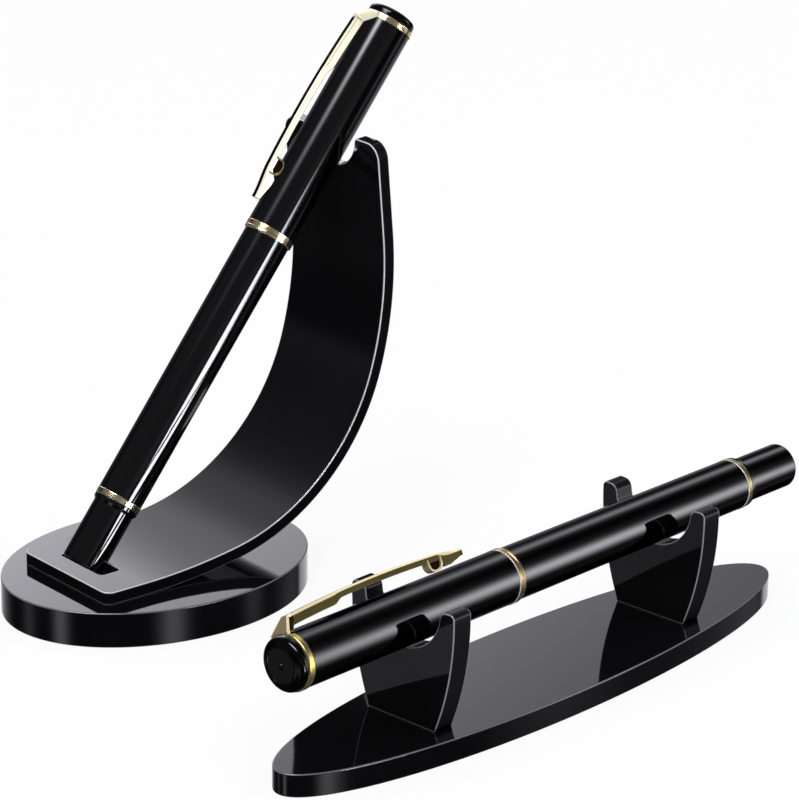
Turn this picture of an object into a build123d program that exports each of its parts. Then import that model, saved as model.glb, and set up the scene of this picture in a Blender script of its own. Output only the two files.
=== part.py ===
from build123d import *
import math
import os

# Two-part pen display set. Millimetres, +Z up.
# The origin is the centre of the lying stand's underside, and +X runs along that stand.

# Upright stand: an oval base with one bent sheet on it
upright_x = -19.8
upright_y = 86.7
upright_turn = -7.0
upright_base_length = 68.0
upright_base_width = 52.2
upright_base_thickness = 7.4
arm_thickness = 2.7
arm_front = 22.8
arm_flat_length = 9.0
arm_low_radius = 136.6
arm_low_turn = 9.9
arm_bend_radius = 44.2
arm_bend_turn = 63.5
arm_upper_radius = 74.1
arm_upper_turn = 22.1
arm_height = 90.7
arm_foot_width = 29.6
arm_tip_width = 31.0
arm_foot_corner = 2.0
arm_tip_corner = 3.4
arm_notch_radius = 8.1
arm_notch_depth = 7.3
arm_notch_lip = 0.8
slot_margin = 4.7
slot_length = 5.0
slot_width = 14.4
slot_corner = 1.0
slot_shift = 1.1

# Lying stand: a long oval base with two notched plates across it
lying_base_length = 140.4
lying_base_width = 31.2
lying_base_thickness = 4.7
cradle_thickness = 4.7
front_cradle_x = -35.3
rear_cradle_x = 37.0
cradle_height = 25.0
cradle_foot_width = 17.2
cradle_waist_width = 25.0
cradle_top_width = 26.4
cradle_waist_height_share = 0.55
cradle_notch_radius = 9.7
cradle_notch_depth = 9.8
cradle_horn_inner_corner = 1.7
cradle_horn_outer_corner = 1.1

# The pen that leans in the upright stand
upright_cap_length = 50.2
upright_cap_diameter = 10.45
upright_barrel_length = 60.9
upright_barrel_top_diameter = 9.9
upright_barrel_end_diameter = 9.65
upright_tail_length = 14.45
upright_tail_diameter = 8.8
upright_clip_length = 42.6
upright_clip_turn = -9.0

# The pen that lies across the two plates
lying_pen_end_x = -69.6
lying_clip_turn = 28.0
lying_cap_length = 57.1
lying_cap_diameter = 11.0
lying_barrel_length = 67.7
lying_barrel_top_diameter = 10.65
lying_barrel_end_diameter = 10.45
lying_tail_length = 15.15
lying_tail_diameter = 9.15
lying_clip_length = 45.8

# Small pieces that both pens share
finial_height = 2.1
finial_rounding = 1.0
finial_inset = 0.15
finial_nub_radius = 0.5
finial_nub_height = 0.35
clip_ring_height = 1.3
clip_ring_rim = 0.12
cap_wall = 0.85
cap_end_wall = 1.6
cap_band_height = 1.7
cap_band_depth = 0.4
cap_band_rim = 0.08
stud_radius = 1.5
stud_reach = 2.6
barrel_wall = 0.8
barrel_spigot_length = 3.0
barrel_ring_height = 1.25
barrel_ring_rim = 0.06
tail_collar_height = 0.8
tail_step_height = 0.6
tail_rounding = 0.6
tail_spigot_length = 6.0
sleeve_wall = 0.4
sleeve_length = 8.0
grip_length = 20.0
grip_root_radius = 3.95
grip_front_radius = 3.5
grip_nose_length = 4.0
grip_nose_radius = 1.7
refill_radius = 2.5
refill_length = 60.0
refill_tip_radius = 1.15
refill_tip_bare_length = 2.4
refill_point_radius = 0.35
refill_shoulder_wall = 0.7
inner_cap_wall = 0.5
inner_cap_overlap = 1.0
inner_cap_end_wall = 3.0

# The clip's strip: an arch with a deep stretch, a thin stretch, a pressed ball and a deep end.
# Heights are above the cap
clip_width = 1.65
clip_elbow_height = 2.8
clip_neck_height = 3.45
clip_bow = 0.6
clip_wide_length = 11.0
clip_shoulder_length = 2.4
clip_arch_steps = 5
clip_depth = 2.2
clip_strip_depth = 1.4
clip_root_width = 5.6
clip_root_drop = 2.0
clip_end_length = 8.0
clip_end_start = 6.5
clip_end_belly = 4.0
clip_end_gap = 0.4
clip_tip_height = 2.55
clip_tip_depth = 1.25
clip_ball_radius = 1.5
clip_ball_place = 7.6
clip_split_gap = 0.06

# Clearances
rest_clearance = 0.10
slide_clearance = 0.06
seat_clearance = 0.03
cut_overrun = 5.0

# Worked out from the sizes above
sheet_top = upright_base_thickness + arm_thickness
cradle_top = lying_base_thickness + cradle_height


def turned(outline):
    """Solid of revolution about Z from (radius, height) points."""
    points = [(radius, 0, height) for radius, height in outline]
    return revolve(make_face(Polyline(*points, close=True)), Axis.Z)


def tube(outer, inner, low, high):
    return turned([(inner, low), (outer, low), (outer, high), (inner, high)])


def side_prism(outline, width):
    """Prism of an outline in the XZ plane, as wide as stated and centred on Y."""
    points = [(x, 0, z) for x, z in outline]
    return extrude(make_face(Polyline(*points, close=True)), width / 2, dir=(0, 1, 0), both=True)


def oval_base(length, width, thickness):
    return extrude(Ellipse(length / 2, width / 2), thickness)


def arm_profile():
    """Side outline of the bent sheet: a flat foot, three arcs of growing turn and a straight tip."""
    turns = [math.radians(arm_low_turn), math.radians(arm_bend_turn), math.radians(arm_upper_turn)]
    radii = [arm_low_radius, arm_bend_radius, arm_upper_radius]
    x, z, heading = arm_flat_length - arm_front, sheet_top, 0.0
    inner_edges = [Line((-arm_front, 0, z), (x, 0, z))]
    outer_edges = [Line((-arm_front, 0, z - arm_thickness), (x, 0, z - arm_thickness))]
    for radius, turn in zip(radii, turns):
        centre_x = x - radius * math.sin(heading)
        centre_z = z + radius * math.cos(heading)
        angles = [heading, heading + turn / 2, heading + turn]
        for edges, reach in ((inner_edges, radius), (outer_edges, radius + arm_thickness)):
            points = [(centre_x + reach * math.sin(a), 0, centre_z - reach * math.cos(a)) for a in angles]
            edges.append(ThreePointArc(*points))
        heading = angles[-1]
        x = centre_x + radius * math.sin(heading)
        z = centre_z - radius * math.cos(heading)
    run = (arm_height + cut_overrun - z) / math.sin(heading)
    tip = (x + run * math.cos(heading), z + run * math.sin(heading))
    back = (x + arm_thickness * math.sin(heading), z - arm_thickness * math.cos(heading))
    back_tip = (back[0] + run * math.cos(heading), back[1] + run * math.sin(heading))
    inner_edges.append(Line((x, 0, z), (tip[0], 0, tip[1])))
    outer_edges.append(Line((back[0], 0, back[1]), (back_tip[0], 0, back_tip[1])))
    ends = [Line((-arm_front, 0, sheet_top - arm_thickness), (-arm_front, 0, sheet_top)),
            Line((tip[0], 0, tip[1]), (back_tip[0], 0, back_tip[1]))]
    return inner_edges + outer_edges + ends, (x, z, heading)


def arm_front_outline():
    """Front outline of the sheet: widening to the tip, with round tip corners and a notch."""
    foot = arm_foot_width / 2
    tip = arm_tip_width / 2
    blank = make_face(Polyline((0, -foot, 0), (0, foot, 0), (0, tip, arm_height), (0, -tip, arm_height),
                               close=True))
    blank = fillet(blank.vertices().group_by(Axis.Z)[-1], arm_tip_corner)
    centre = arm_height - arm_notch_depth + arm_notch_radius
    notch = Plane.YZ * Pos(0, centre) * Circle(arm_notch_radius)
    outline = blank - notch
    lips = [v for v in outline.vertices()
            if abs(v.Z - arm_height) < arm_notch_lip / 2 and abs(v.Y) < arm_notch_radius + seat_clearance]
    return fillet(lips, arm_notch_lip)


def slot_edges():
    front = slot_margin - arm_front
    return front, front + slot_length


def upright_pen_line():
    """Lean and tail end of the pen that lies in the notch and against the back edge of the slot."""
    _, (x, z, heading) = arm_profile()
    slot_front, slot_back = slot_edges()
    notch_z = arm_height - arm_notch_depth
    notch_x = x + (notch_z - z) / math.tan(heading)
    cap_reach = upright_cap_diameter / 2 + cap_band_rim + rest_clearance
    tail_reach = upright_tail_diameter / 2 + rest_clearance
    span = math.hypot(notch_x - slot_back, notch_z - sheet_top)
    lean = math.atan2(notch_z - sheet_top, notch_x - slot_back) + math.asin((cap_reach - tail_reach) / span)
    axis_x = notch_x - cap_reach * math.sin(lean)
    axis_z = notch_z + cap_reach * math.cos(lean)
    run = ((slot_front - axis_x) * math.cos(lean) + (sheet_top - axis_z) * math.sin(lean)
           + rest_clearance)
    return lean, axis_x + run * math.cos(lean), axis_z + run * math.sin(lean)


def make_upright_arm():
    edges, _ = arm_profile()
    sheet = extrude(make_face(edges), arm_tip_width, dir=(0, 1, 0), both=True)
    blank = extrude(arm_front_outline(), upright_base_length, dir=(1, 0, 0), both=True)
    arm = sheet & blank
    front_edges = arm.edges().group_by(Axis.X)[0]
    corners = [edge for edge in front_edges if abs(edge.center().Y) > arm_foot_width / 4]
    arm = fillet(corners, arm_foot_corner)
    slot_front, slot_back = slot_edges()
    slot = extrude(RectangleRounded(slot_length, slot_width, slot_corner), arm_thickness + cut_overrun,
                   both=True)
    return arm - Pos((slot_front + slot_back) / 2, slot_shift, sheet_top) * slot


def make_cradle():
    """Plate in the YZ plane, standing on Z 0: curved sides and two horns beside a deep round notch."""
    foot = cradle_foot_width / 2
    waist = cradle_waist_width / 2
    top = cradle_top_width / 2
    waist_height = cradle_height * cradle_waist_height_share
    side = ThreePointArc((0, foot, 0), (0, waist, waist_height), (0, top, cradle_height))
    other = ThreePointArc((0, -foot, 0), (0, -waist, waist_height), (0, -top, cradle_height))
    ends = [Line((0, -foot, 0), (0, foot, 0)), Line((0, -top, cradle_height), (0, top, cradle_height))]
    blank = make_face([side, other] + ends)
    centre = cradle_height - cradle_notch_depth + cradle_notch_radius
    outline = blank - Plane.YZ * Pos(0, centre) * Circle(cradle_notch_radius)
    horns = outline.vertices().group_by(Axis.Z)[-1].sort_by(Axis.Y)
    outline = fillet([horns[0], horns[-1]], cradle_horn_outer_corner)
    inner = [v for v in outline.vertices() if abs(v.Z - cradle_height) < seat_clearance
             and abs(v.Y) < cradle_notch_radius + seat_clearance]
    outline = fillet(inner, cradle_horn_inner_corner)
    return extrude(outline, cradle_thickness / 2, dir=(1, 0, 0), both=True)


def make_cap(radius, lip, top):
    bore = radius - cap_wall
    recess = radius - cap_band_depth
    outline = [(bore, lip), (recess, lip), (recess, lip + cap_band_height), (radius, lip + cap_band_height),
               (radius, top), (stud_radius + seat_clearance, top),
               (stud_radius + seat_clearance, top - cap_end_wall), (bore, top - cap_end_wall)]
    band = tube(radius + cap_band_rim, recess + seat_clearance, lip, lip + cap_band_height)
    return turned(outline), band


def make_finial(radius, top):
    low = top + clip_ring_height
    head_radius = radius - finial_inset
    head = turned([(0, low), (head_radius, low), (head_radius, low + finial_height), (0, low + finial_height)])
    head = fillet(head.edges().filter_by(GeomType.CIRCLE).sort_by(Axis.Z)[-1], finial_rounding)
    nub = Pos(0, 0, low + finial_height) * Cylinder(finial_nub_radius, finial_nub_height * 2)
    stud = turned([(0, top - cap_end_wall - stud_reach), (stud_radius, top - cap_end_wall - stud_reach),
                   (stud_radius, low), (0, low)])
    return head + nub + stud


def make_clip_ring(radius, top):
    """Ring under the finial with the clip's root, which rises from it and narrows to the elbow."""
    rim = radius + clip_ring_rim
    ring = tube(rim, stud_radius + seat_clearance, top, top + clip_ring_height)
    high = radius + clip_elbow_height
    low = high - clip_depth
    start = rim - cap_wall
    side = [(start, top), (rim, top), (low, top - clip_root_drop), (high, top - clip_root_drop),
            (rim, top + clip_ring_height), (start, top + clip_ring_height)]
    wedge = make_face(Polyline((start, -clip_root_width / 2, top), (high, -clip_width / 2, top),
                               (high, clip_width / 2, top), (start, clip_root_width / 2, top), close=True))
    root = side_prism(side, clip_root_width) & extrude(wedge, clip_root_width, dir=(0, 0, 1), both=True)
    return ring + root


def make_clip_arm(radius, top, length):
    """Strip beside the cap, from the elbow to its end, with the ball that presses on the cap.

    Its outer line is a parabola from the elbow to the neck and a straight line on to the tip.
    """
    start = top - clip_root_drop - clip_split_gap
    end = start - length
    run = length - clip_end_length
    narrow = clip_wide_length + clip_shoulder_length
    steps = [step / clip_arch_steps for step in range(clip_arch_steps + 1)]
    stations = [0.0, clip_wide_length / 2, clip_wide_length] + [narrow + (run - narrow) * s for s in steps]
    outer, inner = [], []
    for station in stations:
        share = station / run
        rise = clip_elbow_height + (clip_neck_height - clip_elbow_height) * share
        x = radius + rise + 4 * clip_bow * share * (1 - share)
        depth = clip_depth if station <= clip_wide_length else clip_strip_depth
        outer.append((x, start - station))
        inner.append((x - depth, start - station))
    tip = radius + clip_tip_height
    end_line = [(tip, end), (tip - clip_tip_depth, end), (radius + clip_end_gap, end + clip_end_belly),
                (inner[-1][0], end + clip_end_start)]
    strip = side_prism(outer + end_line + inner[::-1], clip_width)
    ball = Sphere(clip_ball_radius)
    return strip + Pos(radius + rest_clearance + clip_ball_radius, 0, end + clip_ball_place) * ball


def make_pen(name, cap, barrel, tail, clip_length):
    """All pieces of one pen, standing on its tail end at Z 0, with the clip towards +X."""
    cap_length, cap_diameter = cap
    barrel_length, barrel_top_diameter, barrel_end_diameter = barrel
    tail_length, tail_diameter = tail
    cap_radius = cap_diameter / 2
    cap_bore = cap_radius - cap_wall
    top_radius = barrel_top_diameter / 2
    end_radius = barrel_end_diameter / 2
    tail_radius = tail_diameter / 2
    ring_top = tail_length + barrel_ring_height
    lip = ring_top + barrel_length
    cap_top = lip + cap_length
    spigot_top = lip + barrel_spigot_length
    spigot_radius = cap_bore - slide_clearance
    bore = end_radius - barrel_wall
    tail_spigot = bore - seat_clearance

    cap_tube, cap_band = make_cap(cap_radius, lip, cap_top)
    barrel_tube = turned([(bore, ring_top), (end_radius, ring_top), (top_radius, lip), (spigot_radius, lip),
                          (spigot_radius, spigot_top), (bore, spigot_top)])
    barrel_ring = tube(end_radius + barrel_ring_rim, tail_spigot + seat_clearance, tail_length, ring_top)
    collar_low = tail_length - tail_collar_height
    tail_spigot_top = ring_top + tail_spigot_length
    tail_cap = turned([(0, 0), (tail_radius, 0), (tail_radius, collar_low - tail_step_height),
                       (end_radius, collar_low), (end_radius, tail_length), (tail_spigot, tail_length),
                       (tail_spigot, tail_spigot_top), (0, tail_spigot_top)])
    tail_cap = fillet(tail_cap.edges().filter_by(GeomType.CIRCLE).sort_by(Axis.Z)[0], tail_rounding)

    sleeve_inner = bore - seat_clearance - sleeve_wall
    sleeve = tube(bore - seat_clearance, sleeve_inner, spigot_top - sleeve_length, spigot_top)
    grip_top = spigot_top + grip_length
    nose_top = grip_top + grip_nose_length
    shank = sleeve_inner - seat_clearance
    refill_bore = refill_radius + seat_clearance
    tip_bore = refill_tip_radius + seat_clearance
    shoulder = nose_top - refill_shoulder_wall
    grip = turned([(refill_bore, spigot_top - sleeve_length), (shank, spigot_top - sleeve_length),
                   (shank, spigot_top), (grip_root_radius, spigot_top), (grip_front_radius, grip_top),
                   (grip_nose_radius, nose_top), (tip_bore, nose_top), (tip_bore, grip_top),
                   (refill_bore, grip_top - grip_nose_length)])
    refill_low = grip_top - grip_nose_length - refill_length
    refill_high = refill_low + refill_length
    refill = turned([(0, refill_low), (refill_radius, refill_low), (refill_radius, refill_high),
                     (refill_tip_radius, grip_top), (refill_tip_radius, shoulder), (0, shoulder)])
    tip_top = nose_top + refill_tip_bare_length
    tip = turned([(0, shoulder), (refill_tip_radius, shoulder), (refill_tip_radius, nose_top),
                  (refill_point_radius, tip_top), (0, tip_top)])

    liner_top = cap_top - cap_end_wall
    liner_low = grip_top - inner_cap_overlap
    liner_radius = cap_bore - seat_clearance
    stud_bore = stud_radius + seat_clearance
    stud_end = liner_top - inner_cap_end_wall
    liner_bore = liner_radius - inner_cap_wall
    liner = turned([(liner_bore, liner_low), (liner_radius, liner_low), (liner_radius, liner_top),
                    (stud_bore, liner_top), (stud_bore, liner_top - stud_reach - seat_clearance),
                    (0, liner_top - stud_reach - seat_clearance), (0, stud_end), (liner_bore, stud_end)])
    return {
        name + "_cap_tube": cap_tube,
        name + "_cap_band": cap_band,
        name + "_inner_cap": liner,
        name + "_finial": make_finial(cap_radius, cap_top),
        name + "_clip_ring": make_clip_ring(cap_radius, cap_top),
        name + "_clip_arm": make_clip_arm(cap_radius, cap_top, clip_length),
        name + "_barrel": barrel_tube,
        name + "_barrel_ring": barrel_ring,
        name + "_tail_cap": tail_cap,
        name + "_thread_sleeve": sleeve,
        name + "_grip_section": grip,
        name + "_refill": refill,
        name + "_refill_tip": tip,
    }


def make_upright_set():
    stand = Pos(upright_x, upright_y, 0) * Rot(0, 0, upright_turn)
    lean, tail_x, tail_z = upright_pen_line()
    place = Plane(origin=(tail_x, 0, tail_z), x_dir=(-math.sin(lean), 0, math.cos(lean)),
                  z_dir=(math.cos(lean), 0, math.sin(lean))).location * Rot(0, 0, upright_clip_turn)
    base = oval_base(upright_base_length, upright_base_width, upright_base_thickness)
    pen = make_pen("upright_pen", (upright_cap_length, upright_cap_diameter),
                   (upright_barrel_length, upright_barrel_top_diameter, upright_barrel_end_diameter),
                   (upright_tail_length, upright_tail_diameter), upright_clip_length)
    nodes = {"upright_base": stand * base, "upright_arm": stand * make_upright_arm()}
    for name, piece in pen.items():
        nodes[name] = stand * place * piece
    return nodes


def make_lying_set():
    notch_floor = cradle_top - cradle_notch_depth
    axis_z = notch_floor + rest_clearance + cap_band_rim + lying_cap_diameter / 2
    length = (lying_tail_length + barrel_ring_height + lying_barrel_length + lying_cap_length
              + clip_ring_height + finial_height)
    tilt = math.radians(lying_clip_turn)
    place = Plane(origin=(lying_pen_end_x + length, 0, axis_z), x_dir=(0, math.sin(tilt), math.cos(tilt)),
                  z_dir=(-1, 0, 0)).location
    cradle = make_cradle()
    nodes = {
        "lying_base": oval_base(lying_base_length, lying_base_width, lying_base_thickness),
        "front_cradle": Pos(front_cradle_x, 0, lying_base_thickness) * cradle,
        "rear_cradle": Pos(rear_cradle_x, 0, lying_base_thickness) * cradle,
    }
    pen = make_pen("lying_pen", (lying_cap_length, lying_cap_diameter),
                   (lying_barrel_length, lying_barrel_top_diameter, lying_barrel_end_diameter),
                   (lying_tail_length, lying_tail_diameter), lying_clip_length)
    for name, piece in pen.items():
        nodes[name] = place * piece
    return nodes


os.makedirs("parts", exist_ok=True)
for node, shape in {**make_upright_set(), **make_lying_set()}.items():
    export_step(shape, os.path.join("parts", node + ".step"))
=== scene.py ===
import math

import bpy
import numpy as np
from mathutils import Matrix, Vector
from mathutils.geometry import delaunay_2d_cdt


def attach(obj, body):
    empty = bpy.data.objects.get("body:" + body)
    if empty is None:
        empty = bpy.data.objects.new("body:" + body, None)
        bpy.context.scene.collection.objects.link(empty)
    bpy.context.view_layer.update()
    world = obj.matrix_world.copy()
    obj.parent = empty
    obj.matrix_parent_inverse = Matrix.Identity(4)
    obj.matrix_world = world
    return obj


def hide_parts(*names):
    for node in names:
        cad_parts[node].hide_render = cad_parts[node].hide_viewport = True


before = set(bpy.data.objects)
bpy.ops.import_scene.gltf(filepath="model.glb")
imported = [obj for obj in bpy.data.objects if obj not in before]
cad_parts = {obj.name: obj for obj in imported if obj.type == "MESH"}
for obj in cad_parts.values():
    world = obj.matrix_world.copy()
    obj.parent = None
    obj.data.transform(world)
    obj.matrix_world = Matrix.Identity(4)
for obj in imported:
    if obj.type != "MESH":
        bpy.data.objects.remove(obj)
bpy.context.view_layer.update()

# Sizes in millimetres, the same as in the solids
MM = 0.001
UPRIGHT_X, UPRIGHT_Y, UPRIGHT_TURN = -19.8, 86.7, -7.0
UPRIGHT_BASE = (68.0, 52.2, 7.4)
ARM_THICKNESS, ARM_FRONT, ARM_FLAT = 2.7, 22.8, 9.0
ARM_ARCS = ((136.6, 9.9), (44.2, 63.5), (74.1, 22.1))
ARM_HEIGHT, ARM_FOOT_WIDTH, ARM_TIP_WIDTH = 90.7, 29.6, 31.0
ARM_FOOT_CORNER, ARM_TIP_CORNER = 2.0, 3.4
NOTCH_RADIUS, NOTCH_DEPTH, NOTCH_LIP = 8.1, 7.3, 0.8
SLOT_MARGIN, SLOT_LENGTH, SLOT_WIDTH, SLOT_CORNER, SLOT_SHIFT = 4.7, 5.0, 14.4, 1.0, 1.1
LYING_BASE = (140.4, 31.2, 4.7)
CRADLE_X = {"front_cradle": -35.3, "rear_cradle": 37.0}
CRADLE_THICKNESS, CRADLE_HEIGHT = 4.7, 25.0
CRADLE_FOOT, CRADLE_WAIST, CRADLE_TOP, WAIST_SHARE = 17.2, 25.0, 26.4, 0.55
CRADLE_NOTCH_RADIUS, CRADLE_NOTCH_DEPTH, HORN_INNER, HORN_OUTER = 9.7, 9.8, 1.7, 1.1
FINIAL_HEIGHT, FINIAL_INSET, FINIAL_ROUND = 2.1, 0.15, 1.0
NUB_RADIUS, NUB_HEIGHT = 0.5, 0.35
CLIP_RING_HEIGHT, CLIP_RING_RIM = 1.3, 0.12
CAP_WALL, CAP_END_WALL, STUD_RADIUS = 0.85, 1.6, 1.5
BAND_HEIGHT, BAND_DEPTH, BAND_RIM = 1.7, 0.4, 0.08
BARREL_WALL, SPIGOT_LENGTH = 0.8, 3.0
BARREL_RING_HEIGHT, BARREL_RING_RIM = 1.25, 0.06
TAIL_COLLAR, TAIL_STEP, TAIL_ROUND, TAIL_SPIGOT = 0.8, 0.6, 0.6, 6.0
GRIP_LENGTH, GRIP_ROOT, GRIP_FRONT, NOSE_LENGTH, NOSE_RADIUS = 20.0, 3.95, 3.5, 4.0, 1.7
REFILL_RADIUS, TIP_RADIUS, TIP_BARE, POINT_RADIUS = 2.5, 1.15, 2.4, 0.35
CLIP_WIDTH, ELBOW_HEIGHT, NECK_HEIGHT, CLIP_BOW = 1.65, 2.8, 3.45, 0.6
WIDE_LENGTH, SHOULDER_LENGTH, CLIP_DEPTH, STRIP_DEPTH = 11.0, 2.4, 2.2, 1.4
ROOT_WIDTH, ROOT_DROP, CLIP_SPLIT = 5.6, 2.0, 0.06
END_LENGTH, END_START, END_BELLY, END_GAP, TIP_HEIGHT, TIP_DEPTH = 8.0, 6.5, 4.0, 0.4, 2.55, 1.25
BALL_RADIUS, BALL_PLACE = 1.5, 7.6
REST_GAP, SLIDE_GAP, SEAT_GAP = 0.10, 0.06, 0.03

# Finish
SHEET_EDGE = 0.25
FINE_EDGE = 0.12
TURNS = 192


def unit(vectors):
    return vectors / np.maximum(np.linalg.norm(vectors, axis=-1, keepdims=True), 1e-12)


def axes(origin, along_x, along_z):
    """Places local millimetres in the shared frame: an origin and three unit axes."""
    z = unit(np.array(along_z, float))
    x = unit(np.array(along_x, float))
    return np.array(origin, float), np.array([x, np.cross(z, x), z])


def soften(corners, closed=True, steps=6):
    """Line through corners (a, b, radius). Each corner becomes an arc of its radius: centre plus the
    first arm of the arc, turned by equal parts of the corner's angle."""
    corners = np.array(corners, float)
    here, radius = corners[:, :2], corners[:, 2]
    before, after = np.roll(here, 1, axis=0), np.roll(here, -1, axis=0)
    if not closed:
        before[0] = 2 * here[0] - here[1]
        after[-1] = 2 * here[-1] - here[-2]
    arriving, leaving = unit(here - before), unit(after - here)
    cross = arriving[:, 0] * leaving[:, 1] - arriving[:, 1] * leaving[:, 0]
    turn = np.arctan2(cross, (arriving * leaving).sum(axis=1))
    start = here - arriving * (radius * np.tan(abs(turn) / 2))[:, None]
    left = np.stack([-arriving[:, 1], arriving[:, 0]], axis=1)
    arm = -left * (radius * np.sign(turn))[:, None]
    centre = start - arm
    part = turn[:, None] * np.linspace(0, 1, steps + 1)
    cos, sin = np.cos(part), np.sin(part)
    x = centre[:, :1] + arm[:, :1] * cos - arm[:, 1:] * sin
    y = centre[:, 1:] + arm[:, :1] * sin + arm[:, 1:] * cos
    line = np.stack([x, y], axis=-1).reshape(-1, 2)
    apart = np.linalg.norm(line - np.roll(line, 1, axis=0), axis=1) > 1e-5
    if not closed:
        apart[0] = True
    return line[apart]


def grid_faces(rows, columns, wrap_rows=False, wrap_columns=False):
    """Quads of a grid whose points are numbered row by row."""
    row, column = np.meshgrid(np.arange(rows if wrap_rows else rows - 1),
                              np.arange(columns if wrap_columns else columns - 1), indexing="ij")
    next_row, next_column = (row + 1) % rows, (column + 1) % columns
    quads = np.stack([row * columns + column, row * columns + next_column,
                      next_row * columns + next_column, next_row * columns + column], axis=-1)
    return quads.reshape(-1, 4)


def face_vectors(points, faces):
    """Normal of each face, as long as its area: the cross product of its diagonals or sides."""
    corner = points[faces]
    if faces.shape[1] == 4:
        return np.cross(corner[:, 2] - corner[:, 0], corner[:, 3] - corner[:, 1]) / 2
    return np.cross(corner[:, 1] - corner[:, 0], corner[:, 2] - corner[:, 0]) / 2


def make_piece(name, points, faces, place, material, body, slot, replaced=(), normals=None, **marks):
    """Mesh from local millimetres. Faces are turned outwards by the sign of the enclosed volume, and
    each point's normal is the sum of its faces' normals times their areas. Marks are numbers per point
    for the material: shine, for painted highlights, and dull, for matt
    walls, painted shade and pale painted edges."""
    origin, directions = place
    points = (origin + points @ directions) * MM
    middle = points.mean(axis=0)
    volume = sum((face_vectors(points, f) * (points[f[:, 0]] - middle)).sum() for f in faces)
    if volume < 0:
        faces = [f[:, ::-1] for f in faces]
    if normals is None:
        normals = np.zeros_like(points)
        for f in faces:
            vectors = face_vectors(points, f)
            vectors = vectors * np.linalg.norm(vectors, axis=1, keepdims=True)
            for column in range(f.shape[1]):
                np.add.at(normals, f[:, column], vectors)
    else:
        normals = normals @ directions
    mesh = bpy.data.meshes.new(name)
    mesh.from_pydata(points.tolist(), [], [face for f in faces for face in f.tolist()])
    mesh.polygons.foreach_set("use_smooth", np.ones(len(mesh.polygons), bool))
    mesh.normals_split_custom_set_from_vertices(unit(normals).tolist())
    mesh.materials.append(material)
    for mark, values in marks.items():
        mesh.attributes.new(mark, "FLOAT", "POINT").data.foreach_set("value", np.array(values, float))
    piece = bpy.data.objects.new(name, mesh)
    bpy.context.scene.collection.objects.link(piece)
    piece.visible_glossy = body == "stands"
    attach(piece, body)
    if replaced:
        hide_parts(*replaced)
    return piece


def lathe(profile, closed=False, turns=TURNS):
    """Profile (radius, height) turned about Z: x = radius cos angle, y = radius sin angle. An open
    profile ends on the axis, in one point at each end."""
    angle = np.linspace(0, 2 * math.pi, turns, endpoint=False)
    rows = profile if closed else profile[1:-1]
    x = rows[:, :1] * np.cos(angle)
    y = rows[:, :1] * np.sin(angle)
    z = np.repeat(rows[:, 1:], turns, axis=1)
    points = np.stack([x, y, z], axis=-1).reshape(-1, 3)
    faces = [grid_faces(len(rows), turns, wrap_rows=closed, wrap_columns=True)]
    if not closed:
        ends = np.array([[0, 0, profile[0, 1]], [0, 0, profile[-1, 1]]])
        first = np.arange(turns)
        last = first + (len(rows) - 1) * turns
        low, high = len(points), len(points) + 1
        faces.append(np.stack([np.roll(first, -1), first, np.full(turns, low)], axis=1))
        faces.append(np.stack([last, np.roll(last, -1), np.full(turns, high)], axis=1))
        points = np.vstack([points, ends])
    return points, faces


def loft(path, across, width, depth, section):
    """Section carried along a path in the XZ plane: a point is path + across * depth * section depth,
    and its Y is half the width times the section's width. Both ends are closed by fans. A point's
    painted highlight is 1 on the slants, and its dull mark is 1 on the outer face and
    along both edges of the sides, where the leaning pen's clip paints shade and the lying pen's root a
    pale sheen."""
    rows, columns = len(path), len(section)
    inward = path[:, None, :] + across[:, None, :] * (depth[:, None] * section[None, :, 1])[..., None]
    y = width[:, None] / 2 * section[None, :, 0]
    points = np.stack([inward[..., 0], y, inward[..., 1]], axis=-1)
    middles = points[[0, -1]].mean(axis=1)
    points = np.vstack([points.reshape(-1, 3), middles])
    # Painted highlight on the slants between the outer face and the sides.
    below_face = np.clip(section[:, 1] / 0.006, 0, 1)
    slant = below_face * np.clip((0.24 - section[:, 1]) / 0.06, 0, 1)
    shine = np.concatenate([np.tile(slant, rows), [0.0, 0.0]])
    # Painted dark lines and face: the outer face, a thin line below each slant, and the sides' inner edges and
    # inner face.
    dark = np.interp(section[:, 1], [0, 0.006, 0.17, 0.205, 0.26, 0.88, 0.92], [1, 0, 0, 1, 0, 0, 1])
    dull = np.concatenate([np.tile(dark, rows), [0.0, 0.0]])
    ring = np.arange(columns)
    last = ring + (rows - 1) * columns
    faces = [grid_faces(rows, columns, wrap_columns=True),
             np.stack([np.roll(ring, -1), ring, np.full(columns, rows * columns)], axis=1),
             np.stack([last, np.roll(last, -1), np.full(columns, rows * columns + 1)], axis=1)]
    return points, faces, shine, dull


def outline_normals(line):
    """Outward normals of a closed line that runs anticlockwise, weighted by the length of its parts."""
    leaving = np.roll(line, -1, axis=0) - line
    total = leaving + np.roll(leaving, 1, axis=0)
    return unit(np.stack([total[:, 1], -total[:, 0]], axis=1))


def anticlockwise(line):
    """The closed line in its anticlockwise order, by the sign of its area."""
    after = np.roll(line, -1, axis=0)
    area = (line[:, 0] * after[:, 1] - line[:, 1] * after[:, 0]).sum()
    return line if area > 0 else line[::-1]


def inside(points, line):
    """Even-odd test of points against a closed line."""
    x, y = points[:, :1], points[:, 1:]
    x0, y0 = line[:, 0], line[:, 1]
    x1, y1 = np.roll(x0, -1), np.roll(y0, -1)
    crossing = (y0 > y) != (y1 > y)
    at = x0 + (y - y0) * (x1 - x0) / np.where(y1 == y0, 1, y1 - y0)
    return (crossing & (x < at)).sum(axis=1) % 2 == 1


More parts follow.
